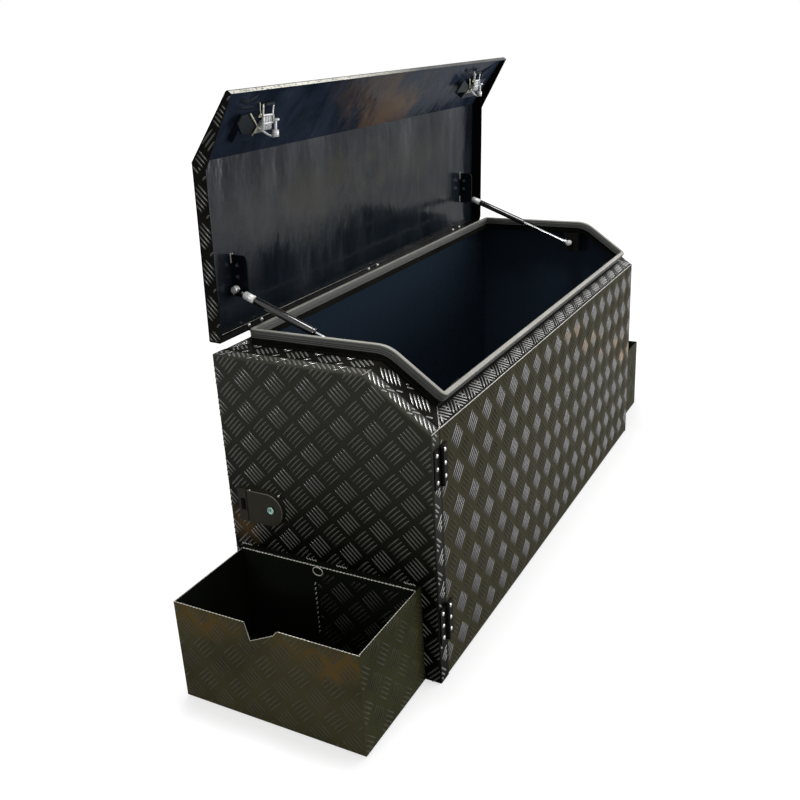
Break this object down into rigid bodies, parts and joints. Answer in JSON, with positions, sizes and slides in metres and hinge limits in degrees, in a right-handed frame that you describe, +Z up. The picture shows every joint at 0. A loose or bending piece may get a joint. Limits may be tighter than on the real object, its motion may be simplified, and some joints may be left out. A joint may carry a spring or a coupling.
{
  "type": "checker plate toolbox",
  "caption": "Black checker plate job box with a sloped front, a gull lid on gas struts, a hinged end door and an open tray on each end.",
  "frame": {"origin": "middle of the flat underside of the body, without the door and the trays", "axes": "+X along the box to the right end, +Y to the rear where the lid hinges are, +Z up"},
  "size_m": [1.665, 0.4773, 1.0307],
  "materials": {
    "tread_paint": "gloss black powder coat over tread plate and plain sheet",
    "seal_rubber": "matte grey ribbed rubber",
    "zinc_steel": "bright zinc plating",
    "strut_rod_steel": "polished rod",
    "strut_tube_paint": "gloss black paint",
    "lock_black": "semi-gloss black",
    "key_barrel_metal": "satin nickel"
  },
  "bodies": {
    "box": {"body_wrap": "tread_paint", "left_end_frame": "tread_paint", "right_end_wall": "tread_paint", "rim_seal": "seal_rubber", "door_seal": "seal_rubber", "right_tray": "tread_paint", "strut_left_body_bracket": "tread_paint", "strut_right_body_bracket": "tread_paint", "keeper_left": "tread_paint", "keeper_right": "tread_paint", "lid_hinge_left_fixed": "tread_paint", "lid_hinge_middle_fixed": "tread_paint", "lid_hinge_right_fixed": "tread_paint", "door_hinge_upper_fixed": "tread_paint", "door_hinge_lower_fixed": "tread_paint"},
    "lid": {"lid_panel": "tread_paint", "lid_hinge_left_moving": "tread_paint", "lid_hinge_middle_moving": "tread_paint", "lid_hinge_right_moving": "tread_paint", "strut_left_lid_bracket": "tread_paint", "strut_right_lid_bracket": "tread_paint", "lid_latch_left_case": "lock_black", "lid_latch_right_case": "lock_black", "lid_latch_left_catch": "zinc_steel", "lid_latch_right_catch": "zinc_steel"},
    "lid_paddle_left": {"lid_latch_left_paddle": "lock_black"},
    "lid_paddle_right": {"lid_latch_right_paddle": "lock_black"},
    "lid_fork_left": {"lid_latch_left_fork": "zinc_steel"},
    "lid_fork_right": {"lid_latch_right_fork": "zinc_steel"},
    "tube_left": {"strut_left_tube": "strut_tube_paint"},
    "rod_left": {"strut_left_rod": "strut_rod_steel"},
    "tube_right": {"strut_right_tube": "strut_tube_paint"},
    "rod_right": {"strut_right_rod": "strut_rod_steel"},
    "door": {"door_pan": "tread_paint", "left_tray": "tread_paint", "door_hinge_upper_moving": "tread_paint", "door_hinge_lower_moving": "tread_paint", "door_latch_case": "lock_black"},
    "door_paddle": {"door_latch_paddle": "lock_black"},
    "door_key": {"door_latch_key_barrel": "key_barrel_metal"},
    "door_tongue": {"door_latch_tongue": "zinc_steel"}
  },
  "joints": [
    {"name": "lid_hinge", "type": "hinge", "parent": "box", "child": "lid", "pos_m": [0, 0.2223, 0.584], "axis": [1, 0, 0], "range_deg": [0, 88.05]},
    {"name": "strut_left_swing", "type": "hinge", "parent": "lid", "child": "tube_left", "pos_m": [-0.524, 0.23332, 0.67173], "axis": [1, 0, 0], "range_deg": [-97.5, 0]},
    {"name": "strut_left_slide", "type": "slide", "parent": "tube_left", "child": "rod_left", "axis": [0, -0.9323, -0.3617], "range_m": [-0.1158, 0]},
    {"name": "strut_right_swing", "type": "hinge", "parent": "lid", "child": "tube_right", "pos_m": [0.524, 0.23332, 0.67173], "axis": [1, 0, 0], "range_deg": [-97.5, 0]},
    {"name": "strut_right_slide", "type": "slide", "parent": "tube_right", "child": "rod_right", "axis": [0, -0.9323, -0.3617], "range_m": [-0.1158, 0]},
    {"name": "lid_paddle_left_pull", "type": "hinge", "parent": "lid", "child": "lid_paddle_left", "pos_m": [-0.4565, 0.20346, 0.973], "axis": [0, 0.615, -0.7885], "range_deg": [0, 35], "stiffness_Nm_per_rad": 0.5},
    {"name": "lid_fork_left_swing", "type": "hinge", "parent": "lid", "child": "lid_fork_left", "pos_m": [-0.461, 0.1673, 0.96636], "axis": [1, 0, 0], "range_deg": [0, 46]},
    {"name": "lid_paddle_right_pull", "type": "hinge", "parent": "lid", "child": "lid_paddle_right", "pos_m": [0.4565, 0.20346, 0.973], "axis": [0, -0.615, 0.7885], "range_deg": [0, 35], "stiffness_Nm_per_rad": 0.5},
    {"name": "lid_fork_right_swing", "type": "hinge", "parent": "lid", "child": "lid_fork_right", "pos_m": [0.461, 0.1673, 0.96636], "axis": [1, 0, 0], "range_deg": [0, 46]},
    {"name": "door_hinge", "type": "hinge", "parent": "box", "child": "door", "pos_m": [-0.60025, -0.2223, 0], "axis": [0, 0, 1], "range_deg": [0, 110]},
    {"name": "door_paddle_pull", "type": "hinge", "parent": "door", "child": "door_paddle", "pos_m": [-0.6391, 0.1696, 0.2891], "axis": [0, 0, -1], "range_deg": [0, 35], "stiffness_Nm_per_rad": 0.5},
    {"name": "door_key_turn", "type": "hinge", "parent": "door_paddle", "child": "door_key", "pos_m": [-0.6365, 0.1163, 0.2891], "axis": [1, 0, 0], "range_deg": [0, 90]},
    {"name": "door_tongue_throw", "type": "slide", "parent": "door", "child": "door_tongue", "axis": [0, 1, 0], "range_m": [0, 0.015]}
  ],
  "couplings": [
    {"joint": "strut_left_swing", "follows": "lid_hinge", "ratio": -1.1055},
    {"joint": "strut_left_slide", "follows": "lid_hinge", "m_per_rad": -0.075246},
    {"joint": "strut_right_swing", "follows": "lid_hinge", "ratio": -1.1055},
    {"joint": "strut_right_slide", "follows": "lid_hinge", "m_per_rad": -0.075246},
    {"joint": "lid_fork_left_swing", "follows": "lid_paddle_left_pull", "ratio": 1.3143},
    {"joint": "lid_fork_right_swing", "follows": "lid_paddle_right_pull", "ratio": 1.3143},
    {"joint": "door_key_turn", "follows": "door_tongue_throw", "rad_per_m": 100}
  ]
}
